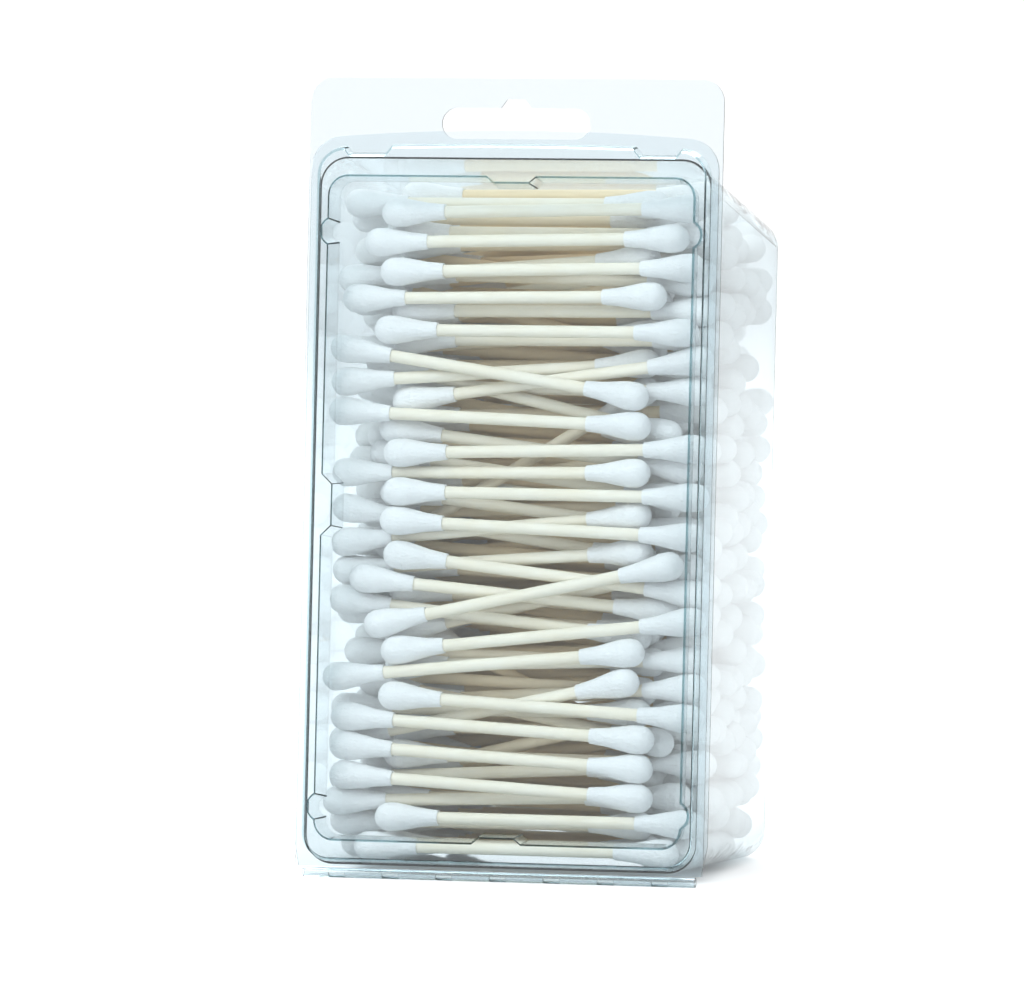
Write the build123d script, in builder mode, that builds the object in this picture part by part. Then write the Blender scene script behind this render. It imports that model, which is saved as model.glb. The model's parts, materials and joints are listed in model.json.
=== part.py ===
from build123d import *
from math import asin, atan2, cos, degrees, hypot, radians, sin, sqrt, tan
import os

import numpy as np

os.makedirs("parts", exist_ok=True)

# A clear clamshell hang pack of cotton swabs, in millimetres.
# The pack leans back a little: it stands on its bottom fold and on the tub's rear bottom edge.
# Pack coordinates: u to the right, v up along the pack's face, w forward out of the face.
# The tub flange's front face is w = 0, and the fold's lowest line is near v = 0.

# Sheet and clearances
sheet = 0.5  # thermoformed sheet
flange_gap = 0.2  # between the two flanges when shut
seat_gap = 0.3  # between a loose piece and what it rests against

# Tub: flange with hang tab
pack_half = 47.1
pack_top = 176.2
tab_corner = 5.0
flange_foot_half = 45.8  # the flange narrows to this at the fold
foot_taper_height = 9.0
hang_slot_length = 33.8
hang_slot_height = 6.8
hang_slot_centre = 166.2
hang_bump_half = 3.2
hang_bump_height = 1.9
hang_bump_flare = 1.1

# Tub: tray behind the flange
mouth_half = 44.6
mouth_low = 2.9
mouth_high = 158.8
mouth_corner = 6.5
rear_half = 42.1
rear_low = 5.5
rear_high = 148.3
rear_corner = 6.5
tub_depth = 74.0
rear_edge_radius = 6.0

# Bottom fold
fold_radius = 1.1
fold_half = 44.6
fold_slots = 7
fold_slot_pitch = 12.25
fold_slot_width = 3.7
fold_clearance = 0.2  # between the fold strip and the flanges' lower edges

# Lid: flange
lid_half = 46.4
lid_shoulder = 162.6
lid_crown = 164.7
lid_corner = 7.0

# Lid: raised rim
rim_half = 44.8
rim_low = 3.4
rim_shoulder = 160.7
rim_crown = 161.8
rim_corner = 6.5
rim_height = 2.4
rim_draft = 12.0
ear_centre = 33.1
ear_width = 10.1
ear_depth = 1.6
ear_slope = 1.2

# Lid: press-in window panel
panel_half = 41.45
panel_low = 8.5
panel_high = 154.2
panel_corner = 4.2
panel_recess = 6.0
panel_draft = 8.0
button_heights = (15.5, 142.1)
button_chord = 5.4
button_bulge = 1.7
side_rib_centre = 81.9
side_rib_length = 13.4
side_rib_depth = 2.3
side_rib_slope = 2.2
end_rib_length = 11.2
end_rib_depth = 1.3
end_rib_slope = 1.6

# Swabs
swab_length = 74.0
stick_radius = 1.35
stick_in_bud = 10.0  # how far the stick runs into each bud
bud_bore_clearance = 0.06
bud_radius = 3.15
bud_belly = 5.0
bud_shoulder, bud_shoulder_radius = 7.8, 2.65
bud_waist, bud_waist_radius = 10.6, 2.1
bud_length, bud_neck_radius = 14.5, 1.7

# Swab stacking
row_pitch = 5.5
layer_pitch = 6.3
swab_gap = 0.2
loose_height = 0.8  # spread of a swab end's height before the stack settles
loose_rise = 0.055  # spread of a swab's slope
loose_depth = 0.5
crossing_share = 0.3  # share of neighbours in a layer that cross
steep_share = 0.03
steep_rise = (0.35, 0.55)
stack_seed = 2
settling = ((250, 0.004), (450, 0.0015), (600, 0.0))  # steps, and drop in each step
steps_between_looks = 10  # how often the list of neighbours is made again
look_ahead = 1.5  # how much further than touching a neighbour may be to be on it
push_strength = 1.3
crossing_reach = stick_radius / 20  # axes nearer than this are parted along their common normal
tiny = 1e-9  # keeps a division or a root away from nought


# Where the pack stands -------------------------------------------------------------------------

flange_back = flange_gap
lid_front = flange_gap + sheet
rim_front = lid_front + rim_height
panel_front = rim_front - panel_recess
panel_back = panel_front - sheet
fold_axis_w = flange_gap / 2
flange_low = 2 * fold_radius + fold_clearance

floor_draft = atan2(rear_low - mouth_low, tub_depth)
heel_w = -(tub_depth - rear_edge_radius)
heel_v = mouth_low - heel_w * tan(floor_draft) + rear_edge_radius / cos(floor_draft)
heel_rise, heel_run = heel_v - fold_radius, fold_axis_w - heel_w
lean = degrees(
    atan2(heel_rise, heel_run)
    - asin((rear_edge_radius - fold_radius) / hypot(heel_rise, heel_run))
)


def along_depth(v, w):
    """Y in the standing frame of a point of the pack, before the pack is centred."""
    return v * sin(radians(lean)) - w * cos(radians(lean))


foremost = along_depth(rim_low + rim_height * tan(radians(rim_draft)), rim_front)
crown_v = rear_high - rear_edge_radius
rearmost = along_depth(crown_v, heel_w) + rear_edge_radius
stand_z = fold_radius * (1 - cos(radians(lean))) - fold_axis_w * sin(radians(lean))

face = Plane(
    origin=(0, -(foremost + rearmost) / 2, stand_z),
    x_dir=(1, 0, 0),
    z_dir=(0, -cos(radians(lean)), sin(radians(lean))),
)
forward = face.z_dir


def export(builder, name):
    """Labels a finished piece and writes it as one STEP file."""
    builder.part.label = name
    export_step(builder.part, f"parts/{name}.step")


# Outlines, drawn inside a BuildSketch on the face plane ------------------------------------------


def upright_rectangle(half, low, high, corner):
    """A round-cornered rectangle between two heights."""
    with Locations((0, (low + high) / 2)):
        RectangleRounded(2 * half, high - low, corner)


def arched_outline(half, low, shoulder, crown, top_corner, low_corner):
    """An outline with straight sides and foot, and a slightly arched top."""
    with BuildLine() as border:
        Polyline((-half, shoulder), (-half, low), (half, low), (half, shoulder))
        ThreePointArc((half, shoulder), (0, crown), (-half, shoulder))
    with BuildSketch() as outline:
        make_face(border.edges())
        fillet(outline.vertices().group_by(Axis.Y)[-1], top_corner)
        fillet(outline.vertices().group_by(Axis.Y)[0], low_corner)
    add(outline.sketch)


def step_profile(length, depth, slope, mode):
    """A trapezoid that stands on its long side, with its long side on the local X axis."""
    half = length / 2
    corners = (-half, 0), (half, 0), (half - slope, depth), (slope - half, depth)
    Polygon(*corners, align=None, mode=mode)


# Tub -------------------------------------------------------------------------------------------


def tray_block(inset):
    """The tray's outer shape, or its hollow when inset by the sheet."""
    with BuildPart() as block:
        with BuildSketch(face):
            upright_rectangle(
                mouth_half - inset, mouth_low + inset, mouth_high - inset, mouth_corner - inset
            )
        with BuildSketch(face.offset(inset - tub_depth)):
            upright_rectangle(
                rear_half - inset, rear_low + inset, rear_high - inset, rear_corner - inset
            )
        loft(ruled=True)
        rear_face = block.faces().sort_by(Axis(face.origin, forward))[0]
        fillet(rear_face.edges(), rear_edge_radius - inset)
    return block.part


with BuildPart() as tub:
    with BuildSketch(face):
        Polygon(
            (-pack_half, pack_top),
            (-pack_half, foot_taper_height),
            (-flange_foot_half, flange_low),
            (flange_foot_half, flange_low),
            (pack_half, foot_taper_height),
            (pack_half, pack_top),
            align=None,
        )
        fillet(vertices().group_by(Axis.Y)[-1], tab_corner)
        with Locations((0, hang_slot_centre)):
            SlotOverall(hang_slot_length, hang_slot_height, mode=Mode.SUBTRACT)
        with Locations((0, hang_slot_centre + hang_slot_height / 2 - hang_bump_flare)):
            step_profile(
                2 * (hang_bump_half + hang_bump_flare),
                hang_bump_height + hang_bump_flare,
                2 * hang_bump_flare,
                Mode.SUBTRACT,
            )
    extrude(amount=-sheet)
    add(tray_block(0.0))
    add(tray_block(sheet), mode=Mode.SUBTRACT)
export(tub, "tub")


# Lid -------------------------------------------------------------------------------------------

button_radius = ((button_chord / 2) ** 2 + button_bulge**2) / (2 * button_bulge)
button_centre = panel_half + button_bulge - button_radius
ear_foot = rim_shoulder + (rim_crown - rim_shoulder) * (1 - (ear_centre / rim_half) ** 2)


def lid_flange_outline():
    arched_outline(lid_half, flange_low, lid_shoulder, lid_crown, lid_corner, sheet)


def rim_outline(inset=0.0):
    """The rim, with a stepped-down ear near each end of its top."""
    arched_outline(
        rim_half - inset,
        rim_low + inset,
        rim_shoulder - inset,
        rim_crown - inset,
        rim_corner - inset,
        rim_corner - inset,
    )
    for side in (-1, 1):
        with Locations(Location((side * ear_centre, ear_foot + ear_slope - inset), 180)):
            step_profile(
                ear_width + 2 * ear_slope, ear_depth + ear_slope, 2 * ear_slope, Mode.SUBTRACT
            )


def panel_outline(grow=0.0):
    """The window recess, with its snap buttons and its side and end ribs."""
    upright_rectangle(
        panel_half + grow, panel_low - grow, panel_high + grow, panel_corner + grow
    )
    with Locations(Location((-panel_half - grow, side_rib_centre), -90)):
        step_profile(side_rib_length, side_rib_depth, side_rib_slope, Mode.SUBTRACT)
    with Locations(Location((0, panel_high + grow), 180)):
        step_profile(end_rib_length, end_rib_depth, end_rib_slope, Mode.SUBTRACT)
    with Locations((0, panel_low - grow)):
        step_profile(end_rib_length, end_rib_depth, end_rib_slope, Mode.SUBTRACT)
    with Locations(
        *[(side * button_centre, height) for side in (-1, 1) for height in button_heights]
    ):
        Circle(button_radius + grow)


with BuildPart() as panel_pan:
    with BuildSketch(face.offset(rim_front)):
        panel_outline(sheet)
    extrude(dir=-forward, amount=panel_recess + sheet, taper=panel_draft)

with BuildPart() as panel_recess_block:
    with BuildSketch(face.offset(rim_front)):
        panel_outline()
    extrude(dir=-forward, amount=panel_recess, taper=panel_draft)

with BuildPart() as lid:
    with BuildSketch(face.offset(flange_back)):
        lid_flange_outline()
    extrude(amount=sheet)
    with BuildSketch(face.offset(lid_front)):
        rim_outline()
    extrude(amount=rim_height, taper=rim_draft)
    with BuildSketch(face.offset(flange_back)):
        rim_outline(sheet)
    extrude(amount=rim_height, taper=rim_draft, mode=Mode.SUBTRACT)
    add(panel_pan.part)
    add(panel_recess_block.part, mode=Mode.SUBTRACT)
export(lid, "lid")


# Bottom fold -----------------------------------------------------------------------------------

fold_frame = Plane(
    origin=face.from_local_coords((0, fold_radius, fold_axis_w)),
    x_dir=face.y_dir,
    z_dir=face.x_dir,
)

with BuildPart() as fold_hinge:
    with BuildSketch(fold_frame.offset(-fold_half)):
        Circle(fold_radius)
        Circle(fold_radius - sheet, mode=Mode.SUBTRACT)
        with Locations((fold_radius, 0)):
            Rectangle(fold_radius, flange_gap, mode=Mode.SUBTRACT)
    extrude(amount=2 * fold_half)
    slot_middle = face.from_local_coords((0, 0, fold_axis_w + fold_radius))
    with Locations(Plane(origin=slot_middle, x_dir=face.x_dir, z_dir=forward)):
        with GridLocations(fold_slot_pitch, 1, fold_slots, 1):
            Box(fold_slot_width, 2 * fold_radius, 2 * fold_radius, mode=Mode.SUBTRACT)
export(fold_hinge, "fold_hinge")


# Swabs: how the stack settles --------------------------------------------------------------------

axis_length = swab_length - 2 * bud_radius  # between the centres of the two rounded ends
bud_stations = (
    (bud_radius, bud_radius),
    (bud_belly, bud_radius),
    (bud_shoulder, bud_shoulder_radius),
    (bud_waist, bud_waist_radius),
    (bud_length, bud_neck_radius),
)


def swab_zones():
    """Stretches of a swab's axis, as start, end and radius, measured from a rounded end's centre."""
    bud = [
        (s - bud_radius, e - bud_radius, radius)
        for (s, radius), (e, _) in zip(bud_stations[1:], bud_stations[2:])
    ]
    bud[0] = (0.0, bud[0][1], bud[0][2])
    bare = [(bud[-1][1], axis_length - bud[-1][1], stick_radius)]
    return np.array(bud + bare + [(axis_length - e, axis_length - s, r) for s, e, r in bud[::-1]])


def tub_walls():
    """Inner walls and rounded edges of the shut pack, as unit normals and distances."""
    side_slope = (mouth_half - rear_half) / tub_depth
    top_slope = (mouth_high - rear_high) / tub_depth
    foot_slope = (rear_low - mouth_low) / tub_depth
    walls = [
        ((1, 0, -side_slope), mouth_half - sheet),
        ((-1, 0, -side_slope), mouth_half - sheet),
        ((0, 1, -top_slope), mouth_high - sheet),
        ((0, -1, -foot_slope), -mouth_low - sheet),
        ((0, 0, -1), tub_depth - sheet),
    ]
    walls = [(np.array(n) / np.linalg.norm(n), d / np.linalg.norm(n)) for n, d in walls]
    rounds = []
    for first, second in ((0, 2), (0, 3), (1, 2), (1, 3), (0, 4), (1, 4), (2, 4), (3, 4)):
        (n, d), (m, e) = walls[first], walls[second]
        between = (n + m) / np.linalg.norm(n + m)
        reach = (d + e) / np.linalg.norm(n + m)
        corner = mouth_corner if second != 4 else rear_edge_radius
        rounds.append((between, reach - (corner - sheet) * (sqrt(2) - 1)))
    return walls + rounds + [(np.array([0.0, 0.0, 1.0]), panel_back)]


def closest(start, along, other, beside):
    """Parameters of the closest points of segments start + s along and other + t beside."""
    gap = start - other
    a, c = (along * along).sum(-1), (beside * beside).sum(-1)
    b, f, g = (along * beside).sum(-1), (beside * gap).sum(-1), (along * gap).sum(-1)
    s = np.clip((b * f - c * g) / np.maximum(a * c - b * b, tiny), 0, 1)
    t = np.clip((b * s + f) / c, 0, 1)
    s = np.clip((b * t - g) / a, 0, 1)
    return s, t


def near_pairs(left, right):
    """Pairs of swabs that are near enough to meet."""
    reach = 2 * bud_radius + look_ahead
    low, high = np.minimum(left, right), np.maximum(left, right)
    i, j = np.triu_indices(len(left), 1)
    meet = ((low[i] < high[j] + reach) & (low[j] < high[i] + reach)).all(axis=1)
    i, j = i[meet], j[meet]
    s, t = closest(left[i], right[i] - left[i], left[j], right[j] - left[j])
    here = left[i] + (right[i] - left[i]) * s[:, None]
    there = left[j] + (right[j] - left[j]) * t[:, None]
    near = np.linalg.norm(here - there, axis=1) < reach
    return i[near], j[near]


def push_apart(left, right, i, j, zones, zone_pairs):
    """Moves overlapping swabs apart, each end by its share."""
    along = (right - left) / axis_length
    (s0, e0, r0), (s1, e1, r1) = zones[zone_pairs[:, 0]].T, zones[zone_pairs[:, 1]].T
    p = left[i][:, None] + along[i][:, None] * s0[None, :, None]
    q = left[j][:, None] + along[j][:, None] * s1[None, :, None]
    dp = along[i][:, None] * (e0 - s0)[None, :, None]
    dq = along[j][:, None] * (e1 - s1)[None, :, None]
    s, t = closest(p, dp, q, dq)
    between = p + dp * s[..., None] - q - dq * t[..., None]
    apart = np.linalg.norm(between, axis=-1)
    k, z = np.nonzero(r0 + r1 + swab_gap > apart)
    normal = between[k, z] / np.maximum(apart[k, z], tiny)[:, None]
    across = np.cross(dp[k, z], dq[k, z])
    across /= np.maximum(np.linalg.norm(across, axis=1), tiny)[:, None]
    across *= np.sign(across[:, 2:] + tiny)
    normal = np.where((apart[k, z] < crossing_reach)[:, None], across, normal)
    here = (s0[z] + (e0 - s0)[z] * s[k, z]) / axis_length
    there = (s1[z] + (e1 - s1)[z] * t[k, z]) / axis_length
    depth = (r0 + r1)[z] + swab_gap - apart[k, z]
    share = (1 - here) ** 2 + here**2 + (1 - there) ** 2 + there**2
    push = (depth / share)[:, None] * normal
    moves = np.zeros((2, len(left), 3))
    met = np.zeros(len(left))
    for swab, place, sign in ((i[k], here, 1), (j[k], there, -1)):
        np.add.at(moves[0], swab, sign * push * (1 - place)[:, None])
        np.add.at(moves[1], swab, sign * push * place[:, None])
        np.add.at(met, swab, 1)
    ease = (push_strength / np.sqrt(np.maximum(met, 1)))[:, None]
    left += moves[0] * ease
    right += moves[1] * ease


def settle(left, right):
    """Lets the loosely placed swabs drop and spread until none overlaps a neighbour or a wall."""
    zones = swab_zones()
    middle = len(zones) // 2
    zone_pairs = np.array(
        [
            (a, b)
            for a in range(len(zones))
            for b in range(len(zones))
            if (a - middle) * (b - middle) >= 0
        ]
    )
    walls = tub_walls()
    for steps, drop in settling:
        for step in range(steps):
            if step % steps_between_looks == 0:
                i, j = near_pairs(left, right)
            left[:, 1] -= drop
            right[:, 1] -= drop
            push_apart(left, right, i, j, zones, zone_pairs)
            for normal, reach in walls:
                for end in (left, right):
                    over = np.maximum(end @ normal + bud_radius + seat_gap - reach, 0)
                    end -= over[:, None] * normal
            centre, along = (left + right) / 2, right - left
            along *= axis_length / 2 / np.linalg.norm(along, axis=1)[:, None]
            left[:], right[:] = centre - along, centre + along


def loose_stack():
    """Swabs laid in rows and layers, with some neighbours crossed and a few lying steeply."""
    draw = np.random.default_rng(stack_seed)
    back = tub_depth - sheet - seat_gap
    room = back + panel_back - seat_gap - 2 * bud_radius
    layers = int(room / layer_pitch) + 1
    height = (mouth_high + rear_high - mouth_low - rear_low) / 2 - 2 * (sheet + bud_radius)
    rows = int(height / row_pitch)
    left, right, layer_of = [], [], []
    for layer in range(layers):
        w = panel_back - seat_gap - bud_radius - room * layer / (layers - 1)
        start = mouth_low + (rear_low - mouth_low) * -w / tub_depth + sheet + bud_radius
        level = start + (np.arange(rows) + layer % 2 / 2) * height / rows
        level += draw.normal(0, loose_height, rows)
        far = np.sort(level + draw.normal(0, loose_rise * axis_length, rows))
        row = 0
        while row < rows - 1:
            if draw.random() < crossing_share:
                partner = min(rows - 1, row + int(draw.integers(1, 3)))
                far[[row, partner]] = far[[partner, row]]
                row = partner
            row += 1
        for here, there in zip(level, far):
            rise, middle = there - here, (there + here) / 2
            if draw.random() < steep_share:
                rise = draw.choice([-1, 1]) * draw.uniform(*steep_rise) * axis_length
                middle = np.clip(middle, mouth_low + swab_length / 2, rear_high - swab_length / 2)
            spare = rear_half - sheet - swab_length / 2
            centre = np.array([draw.uniform(-spare, spare), middle, w + draw.normal(0, loose_depth)])
            along = np.array([sqrt(axis_length**2 - rise**2), rise, draw.normal(0, loose_depth)])
            along *= axis_length / 2 / np.linalg.norm(along)
            left.append(centre - along)
            right.append(centre + along)
            layer_of.append(layer)
    return np.array(left), np.array(right), layer_of


# Swabs: the pieces -------------------------------------------------------------------------------

with BuildPart() as stick:
    with Locations((0, 0, swab_length / 2)):
        Cylinder(stick_radius, swab_length - 2 * (bud_length - stick_in_bud))

bud_bore = stick_radius + bud_bore_clearance
bud_floor = bud_length - stick_in_bud - bud_bore_clearance

with BuildPart() as bud:
    with BuildSketch(Plane.XZ):
        with BuildLine():
            RadiusArc((0, 0), (bud_radius, bud_radius), -bud_radius)
            Polyline(
                *[(radius, s) for s, radius in bud_stations],
                (bud_bore, bud_length),
                (bud_bore, bud_floor),
                (0, bud_floor),
                (0, 0),
            )
        make_face()
    revolve(axis=Axis.Z)

left_ends, right_ends, swab_layers = loose_stack()
settle(left_ends, right_ends)


def swab_planes(layer):
    """A plane at each rounded end of the layer's swabs, looking inwards along the stick."""
    planes = []
    for left, right, its_layer in zip(left_ends, right_ends, swab_layers):
        if its_layer == layer:
            along = (right - left) / axis_length
            for tip, inwards in ((left, along), (right, -along)):
                start = Vector(*(tip - bud_radius * inwards))
                world = face.from_local_coords(start)
                ahead = face.from_local_coords(start + Vector(*inwards)) - world
                planes.append(Plane(origin=world, z_dir=ahead))
    return planes


for layer in range(max(swab_layers) + 1):
    planes = swab_planes(layer)
    with BuildPart() as sticks:
        with Locations(*planes[::2]):
            add(stick.part)
    export(sticks, f"paper_sticks_{layer + 1:02d}")
    with BuildPart() as buds:
        with Locations(*planes):
            add(bud.part)
    export(buds, f"cotton_buds_{layer + 1:02d}")
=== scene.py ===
import json
import logging
from dataclasses import dataclass, field
from enum import Enum
from math import radians

import bpy
from mathutils import Euler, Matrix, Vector


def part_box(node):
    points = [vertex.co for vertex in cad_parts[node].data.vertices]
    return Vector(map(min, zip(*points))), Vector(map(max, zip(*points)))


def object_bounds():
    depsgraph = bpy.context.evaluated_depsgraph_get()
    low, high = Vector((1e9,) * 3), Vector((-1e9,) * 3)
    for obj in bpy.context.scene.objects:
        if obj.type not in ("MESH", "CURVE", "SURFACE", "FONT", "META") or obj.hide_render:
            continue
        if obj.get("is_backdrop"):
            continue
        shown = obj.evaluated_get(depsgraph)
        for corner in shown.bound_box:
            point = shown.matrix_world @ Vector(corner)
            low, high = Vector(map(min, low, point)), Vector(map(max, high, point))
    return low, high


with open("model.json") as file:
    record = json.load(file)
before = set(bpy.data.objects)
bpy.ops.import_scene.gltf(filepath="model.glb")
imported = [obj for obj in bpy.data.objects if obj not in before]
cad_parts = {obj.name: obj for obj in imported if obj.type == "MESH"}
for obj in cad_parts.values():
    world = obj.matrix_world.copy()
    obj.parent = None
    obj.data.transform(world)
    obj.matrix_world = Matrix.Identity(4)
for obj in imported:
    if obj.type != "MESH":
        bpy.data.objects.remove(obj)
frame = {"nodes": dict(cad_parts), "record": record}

# A clear clamshell tub of cotton swabs on a pale studio floor, in metres.
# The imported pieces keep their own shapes, and are given their finishes here.

MILLIMETRE = 0.001

logging.basicConfig(level=logging.INFO, format="%(message)s")
log = logging.getLogger("cotton_swab_tub")


class Slot(Enum):
    """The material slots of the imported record."""

    CLEAR_PLASTIC = "clear_plastic"
    PAPER = "paper"
    COTTON = "cotton"


# Shared effects --------------------------------------------------------------------------------


def fibre_group() -> bpy.types.NodeTree:
    """Makes the shared node group for fine fibres and slow stains.

    Returns:
        A group with the inputs Along and Across, in waves per metre, and the outputs
        Fibres and Mottle, both from 0 to 1.
    """
    tree = bpy.data.node_groups.new("fibres_and_mottle", "ShaderNodeTree")
    tree.interface.new_socket("Along", in_out="INPUT", socket_type="NodeSocketFloat")
    tree.interface.new_socket("Across", in_out="INPUT", socket_type="NodeSocketFloat")
    tree.interface.new_socket("Fibres", in_out="OUTPUT", socket_type="NodeSocketFloat")
    tree.interface.new_socket("Mottle", in_out="OUTPUT", socket_type="NodeSocketFloat")
    add, link = tree.nodes.new, tree.links.new
    entry = add("NodeGroupInput")
    place = add("ShaderNodeTexCoord")
    spacing = add("ShaderNodeCombineXYZ")
    stretch = add("ShaderNodeVectorMath")
    stretch.operation = "MULTIPLY"
    fibres = add("ShaderNodeTexNoise")
    fibres.inputs["Scale"].default_value = 1.0
    fibres.inputs["Detail"].default_value = 4.0
    fibres.inputs["Roughness"].default_value = 0.65
    mottle = add("ShaderNodeTexNoise")
    mottle.inputs["Scale"].default_value = 90.0
    mottle.inputs["Detail"].default_value = 2.0
    leave = add("NodeGroupOutput")
    link(entry.outputs["Along"], spacing.inputs["X"])
    link(entry.outputs["Across"], spacing.inputs["Y"])
    link(entry.outputs["Across"], spacing.inputs["Z"])
    link(place.outputs["Object"], stretch.inputs[0])
    link(spacing.outputs["Vector"], stretch.inputs[1])
    link(stretch.outputs["Vector"], fibres.inputs["Vector"])
    link(place.outputs["Object"], mottle.inputs["Vector"])
    link(fibres.outputs["Fac"], leave.inputs["Fibres"])
    link(mottle.outputs["Fac"], leave.inputs["Mottle"])
    return tree


def painted_shade_depth_group(outward: Vector, middle: float, shallow: float, deep: float) -> bpy.types.NodeTree:
    """Makes the node group that tells how deep in the stack of swabs a point lies, which places the
    painted shade.

    Args:
        outward: The direction out of the tub's face.
        middle: Where the stack's middle is, along outward.
        shallow: How far from the middle the depth starts to count.
        deep: How far from the middle it is full.

    Returns:
        A group with one output, Deep, from 0 at the front and the back to 1 inside.
    """
    # Painted shade: this depth sets where the paper and cotton take their darker, warmer painted shade
    # colour.
    tree = bpy.data.node_groups.new("painted_shade_depth", "ShaderNodeTree")
    tree.interface.new_socket("Deep", in_out="OUTPUT", socket_type="NodeSocketFloat")
    add, link = tree.nodes.new, tree.links.new
    place = add("ShaderNodeTexCoord")
    along = add("ShaderNodeVectorMath")
    along.operation = "DOT_PRODUCT"
    along.inputs[1].default_value = outward
    centred = add("ShaderNodeMath")
    centred.operation = "SUBTRACT"
    centred.inputs[1].default_value = middle
    either_way = add("ShaderNodeMath")
    either_way.operation = "ABSOLUTE"
    span = add("ShaderNodeMapRange")
    span.interpolation_type = "SMOOTHSTEP"
    span.inputs["From Min"].default_value = shallow
    span.inputs["From Max"].default_value = deep
    leave = add("NodeGroupOutput")
    link(place.outputs["Object"], along.inputs[0])
    link(along.outputs["Value"], centred.inputs[0])
    link(centred.outputs["Value"], either_way.inputs[0])
    link(either_way.outputs["Value"], span.inputs["Value"])
    link(span.outputs["Result"], leave.inputs["Deep"])
    return tree


# Finishes --------------------------------------------------------------------------------------


@dataclass(frozen=True)
class ClearSheet:
    """Clear thermoformed sheet, faintly blue, and darker where it is seen along its thickness."""

    name: str = "clear_plastic"
    tint: tuple[float, float, float] = (0.915, 0.94, 0.96)
    edge_colour: tuple[float, float, float] = (0.05, 0.4, 0.46)
    absorption: float = 210.0
    roughness: float = 0.045
    ior: float = 1.46
    ripple_scale: float = 55.0
    ripple_height: float = 0.04 * MILLIMETRE
    shade: float = 0.1

    def material(self) -> bpy.types.Material:
        """Builds the material.

        Returns:
            A clear glossy material that lets most of the light through to what is inside.
        """
        made = bpy.data.materials.new(self.name)
        made.use_nodes = True
        add, link = made.node_tree.nodes.new, made.node_tree.links.new
        surface = made.node_tree.nodes["Principled BSDF"]
        surface.inputs["Base Color"].default_value = (*self.tint, 1.0)
        surface.inputs["Roughness"].default_value = self.roughness
        surface.inputs["IOR"].default_value = self.ior
        surface.inputs["Transmission Weight"].default_value = 1.0
        place = add("ShaderNodeTexCoord")
        ripple = add("ShaderNodeTexNoise")
        ripple.inputs["Scale"].default_value = self.ripple_scale
        ripple.inputs["Detail"].default_value = 1.0
        bump = add("ShaderNodeBump")
        bump.inputs["Distance"].default_value = self.ripple_height
        light = add("ShaderNodeLightPath")
        clear_way = add("ShaderNodeMapRange")
        clear_way.inputs["To Min"].default_value = 1.0
        clear_way.inputs["To Max"].default_value = self.shade
        body = add("ShaderNodeVolumeAbsorption")
        body.inputs["Color"].default_value = (*self.edge_colour, 1.0)
        body.inputs["Density"].default_value = self.absorption
        link(place.outputs["Object"], ripple.inputs["Vector"])
        link(ripple.outputs["Fac"], bump.inputs["Height"])
        link(bump.outputs["Normal"], surface.inputs["Normal"])
        link(light.outputs["Is Shadow Ray"], clear_way.inputs["Value"])
        link(clear_way.outputs["Result"], surface.inputs["Alpha"])
        link(body.outputs["Volume"], made.node_tree.nodes["Material Output"].inputs["Volume"])
        return made


@dataclass(frozen=True)
class Fibrous:
    """A matt fibrous finish: rolled paper or wound cotton, with painted shade laid on the swabs deep in
    the stack.
    """

    name: str
    pale: tuple[float, float, float]
    stain: tuple[float, float, float]
    # Painted shade: the darker, warmer colour laid on swabs deep in the stack, standing in for light
    # bounced between the sticks.
    painted_shade_colour: tuple[float, float, float]
    along: float
    across: float
    roughness: float
    fibre_height: float
    sheen: float

    def material(
        self, fibres: bpy.types.NodeTree, depth: bpy.types.NodeTree
    ) -> bpy.types.Material:
        """Builds the material.

        Args:
            fibres: The shared group that gives the fibres and the mottle.
            depth: The shared group that gives the depth in the stack, which places the painted shade.

        Returns:
            A matt material with fine fibres in its colour and its surface, and painted shade deeper in
            the stack.
        """
        made = bpy.data.materials.new(self.name)
        made.use_nodes = True
        add, link = made.node_tree.nodes.new, made.node_tree.links.new
        surface = made.node_tree.nodes["Principled BSDF"]
        surface.inputs["Roughness"].default_value = self.roughness
        surface.inputs["Sheen Weight"].default_value = self.sheen
        surface.inputs["Specular IOR Level"].default_value = 0.25
        group = add("ShaderNodeGroup")
        group.node_tree = fibres
        group.inputs["Along"].default_value = self.along
        group.inputs["Across"].default_value = self.across
        blend = add("ShaderNodeMix")
        blend.data_type = "FLOAT"
        blend.inputs["Factor"].default_value = 0.5
        colour = add("ShaderNodeValToRGB")
        colour.color_ramp.elements[0].position = 0.3
        colour.color_ramp.elements[0].color = (*self.stain, 1.0)
        colour.color_ramp.elements[1].position = 0.62
        colour.color_ramp.elements[1].color = (*self.pale, 1.0)
        bump = add("ShaderNodeBump")
        bump.inputs["Distance"].default_value = self.fibre_height
        link(group.outputs["Fibres"], blend.inputs["A"])
        link(group.outputs["Mottle"], blend.inputs["B"])
        link(blend.outputs["Result"], colour.inputs["Fac"])
        # Painted shade: deeper in the stack the colour is blended towards the painted shade colour,
        # standing in for the dim, warm light bounced between the sticks.
        buried = add("ShaderNodeGroup")
        buried.node_tree = depth
        painted_shade_mix = add("ShaderNodeMix")
        painted_shade_mix.data_type = "RGBA"
        painted_shade_mix.inputs["B"].default_value = (*self.painted_shade_colour, 1.0)
        link(buried.outputs["Deep"], painted_shade_mix.inputs["Factor"])
        link(colour.outputs["Color"], painted_shade_mix.inputs["A"])
        link(painted_shade_mix.outputs["Result"], surface.inputs["Base Color"])
        link(group.outputs["Fibres"], bump.inputs["Height"])
        link(bump.outputs["Normal"], surface.inputs["Normal"])
        return made


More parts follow.
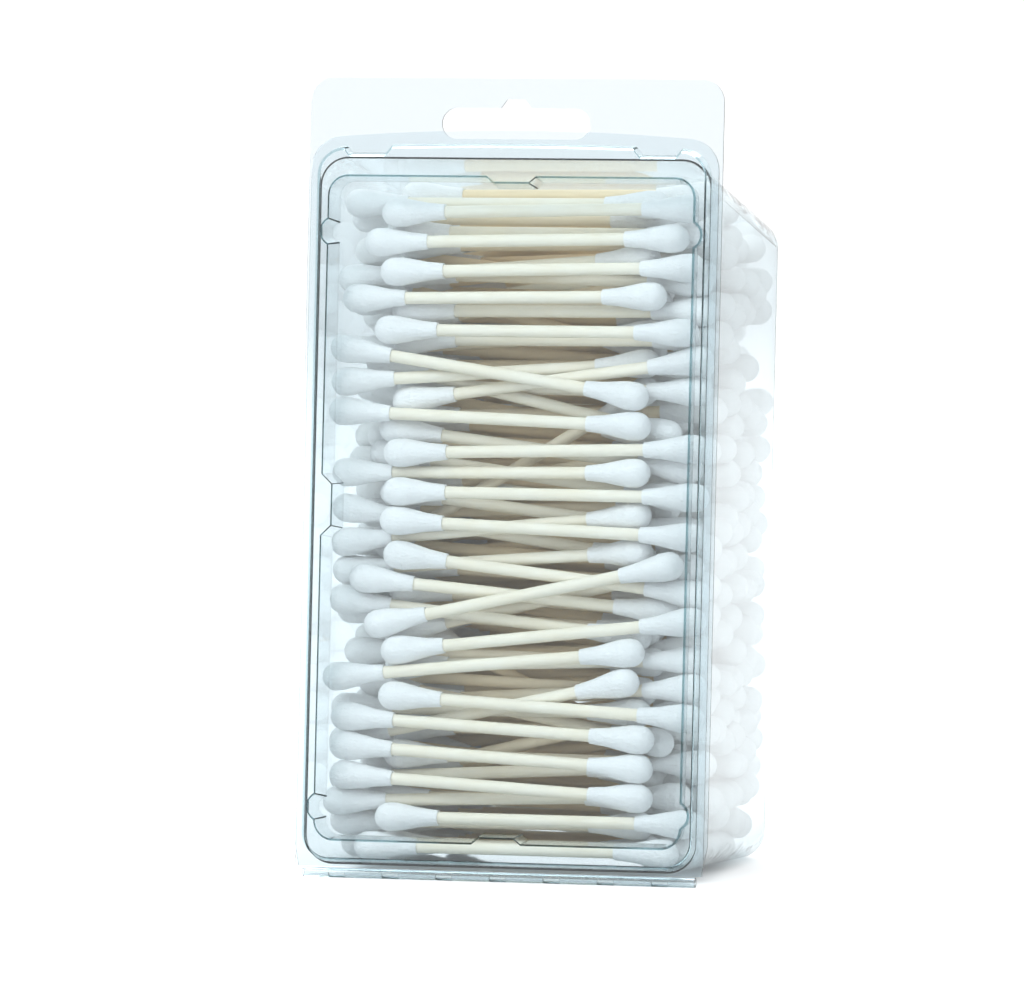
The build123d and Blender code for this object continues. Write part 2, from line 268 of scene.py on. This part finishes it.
ROLLED_PAPER = Fibrous(
    name="paper",
    pale=(0.93, 0.88, 0.77),
    stain=(0.90, 0.82, 0.66),
    # Painted shade: warm orange-brown on paper sticks deep in the stack.
    painted_shade_colour=(0.93, 0.75, 0.50),
    along=260.0,
    across=2600.0,
    roughness=0.75,
    fibre_height=0.04 * MILLIMETRE,
    sheen=0.0,
)

WOUND_COTTON = Fibrous(
    name="cotton",
    pale=(0.955, 0.955, 0.955),
    stain=(0.90, 0.90, 0.905),
    # Painted shade: a barely darker grey on cotton deep in the stack.
    painted_shade_colour=(0.95, 0.945, 0.94),
    along=900.0,
    across=1900.0,
    roughness=0.95,
    fibre_height=0.35 * MILLIMETRE,
    sheen=0.35,
)


# The object ------------------------------------------------------------------------------------


@dataclass
class SwabTub:
    """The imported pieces, each with the finish of its material slot."""

    sheet: ClearSheet = field(default_factory=ClearSheet)
    # Painted shade: the paper and cotton begin to take their painted shade colour this far in from the
    # stack's front and back layers, and are fully shaded at the second depth.
    painted_shade_from: float = 1.5 * MILLIMETRE
    painted_shade_to: float = 15.0 * MILLIMETRE

    def stack_depth(self) -> bpy.types.NodeTree:
        """Measures the stack of swabs from its first and last layers.

        Returns:
            The shared group that gives the depth in the stack, which places the painted shade.
        """
        outward = Vector(frame["record"]["mounts"][0]["axis"]).normalized()
        layers = sorted(name for name in frame["nodes"] if name.startswith("paper_sticks"))
        front, back = (sum(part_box(name), Vector()) / 2 for name in (layers[0], layers[-1]))
        middle = (front + back).dot(outward) / 2
        half = (front - back).dot(outward) / 2
        return painted_shade_depth_group(outward, middle, half - self.painted_shade_from, half - self.painted_shade_to)

    def dress(self) -> None:
        """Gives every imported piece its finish."""
        fibres = fibre_group()
        depth = self.stack_depth()
        finishes = {
            Slot.CLEAR_PLASTIC: self.sheet.material(),
            Slot.PAPER: ROLLED_PAPER.material(fibres, depth),
            Slot.COTTON: WOUND_COTTON.material(fibres, depth),
        }
        slots = {part["node"]: Slot(part["material_slot"]) for part in frame["record"]["subparts"]}
        for name, piece in frame["nodes"].items():
            piece.data.materials.clear()
            piece.data.materials.append(finishes[slots[name]])
            log.info("dressed %s as %s", name, slots[name].value)


# The studio ------------------------------------------------------------------------------------


@dataclass(frozen=True)
class Softbox:
    """One soft rectangular light that points at the object's middle."""

    name: str
    place: tuple[float, float, float]
    width: float
    height: float
    power: float

    def switch_on(self, target: Vector) -> None:
        """Adds the light.

        Args:
            target: The point that the light faces.
        """
        lamp = bpy.data.lights.new(self.name, "AREA")
        lamp.shape = "RECTANGLE"
        lamp.size = self.width
        lamp.size_y = self.height
        lamp.energy = self.power
        light = bpy.data.objects.new(self.name, lamp)
        light.location = self.place
        light.rotation_euler = (target - light.location).to_track_quat("-Z", "Y").to_euler()
        bpy.context.scene.collection.objects.link(light)
        log.info("lit %s", self.name)


@dataclass
class Studio:
    """A pale floor, soft lights and the camera."""

    floor_size: float = 30.0
    floor_colour: tuple[float, float, float] = (0.95, 0.95, 0.955)
    floor_glow: float = 0.16
    sky_strength: float = 1.22
    sky_side: tuple[float, float, float] = (0.03, 0.05, 0.06)
    side_from: float = 0.6
    side_to: float = 0.78
    lights: tuple[Softbox, ...] = (
        Softbox("key_light", (-1.1, -1.5, 1.9), 1.4, 1.4, 30.0),
        Softbox("fill_light", (1.7, -1.3, 1.1), 1.2, 1.6, 12.0),
        Softbox("back_light", (-0.4, 1.8, 1.6), 1.8, 1.0, 20.0),
    )
    camera_place: tuple[float, float, float] = (0.5909, -2.0969, 0.2068)
    camera_turn: float = radians(15.96)
    camera_dip: float = radians(3.285)
    camera_roll: float = radians(0.124)
    lens: float = 344.8

    def build(self) -> None:
        """Adds the floor, the light and the camera."""
        low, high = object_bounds()
        middle = (Vector(low) + Vector(high)) / 2
        self.lay_floor()
        self.fill_sky()
        for softbox in self.lights:
            softbox.switch_on(middle)
        self.set_camera()

    def lay_floor(self) -> None:
        """Adds the wide matt floor that the object stands on."""
        bpy.ops.object.select_all(action="DESELECT")
        bpy.ops.mesh.primitive_plane_add(size=self.floor_size)
        floor = bpy.context.object
        floor.name = "studio_floor"
        matt = bpy.data.materials.new("studio_floor")
        matt.use_nodes = True
        surface = matt.node_tree.nodes["Principled BSDF"]
        surface.inputs["Base Color"].default_value = (*self.floor_colour, 1.0)
        surface.inputs["Roughness"].default_value = 0.9
        surface.inputs["Emission Color"].default_value = (1.0, 1.0, 1.0, 1.0)
        surface.inputs["Emission Strength"].default_value = self.floor_glow
        floor.data.materials.append(matt)
        floor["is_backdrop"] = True
        log.info("laid %s", floor.name)

    def fill_sky(self) -> None:
        """Sets pale light from all round but the two sides, which stay dark to draw the sheet's edges."""
        world = bpy.data.worlds.new("studio_light")
        world.use_nodes = True
        add, link = world.node_tree.nodes.new, world.node_tree.links.new
        sky = world.node_tree.nodes["Background"]
        sky.inputs["Strength"].default_value = self.sky_strength
        heading = add("ShaderNodeTexCoord")
        parts = add("ShaderNodeSeparateXYZ")
        sideways = add("ShaderNodeMath")
        sideways.operation = "ABSOLUTE"
        colour = add("ShaderNodeValToRGB")
        colour.color_ramp.elements[0].position = self.side_from
        colour.color_ramp.elements[0].color = (1.0, 1.0, 1.0, 1.0)
        colour.color_ramp.elements[1].position = self.side_to
        colour.color_ramp.elements[1].color = (*self.sky_side, 1.0)
        link(heading.outputs["Generated"], parts.inputs["Vector"])
        link(parts.outputs["X"], sideways.inputs[0])
        link(sideways.outputs["Value"], colour.inputs["Fac"])
        link(colour.outputs["Color"], sky.inputs["Color"])
        bpy.context.scene.world = world
        bpy.context.scene.view_settings.view_transform = "Standard"

    def set_camera(self) -> None:
        """Places the camera with a long lens, a little above the object's middle."""
        lens = bpy.data.cameras.new("camera")
        lens.lens = self.lens
        lens.clip_end = 100.0
        camera = bpy.data.objects.new("camera", lens)
        camera.location = self.camera_place
        upright = Euler((radians(90) - self.camera_dip, 0.0, self.camera_turn)).to_quaternion()
        roll = Euler((0.0, 0.0, self.camera_roll)).to_quaternion()
        camera.rotation_euler = (upright @ roll).to_euler()
        bpy.context.scene.collection.objects.link(camera)
        bpy.context.scene.camera = camera


def main() -> None:
    """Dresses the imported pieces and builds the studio."""
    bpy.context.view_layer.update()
    SwabTub().dress()
    Studio().build()


if __name__ == "__main__":
    main()
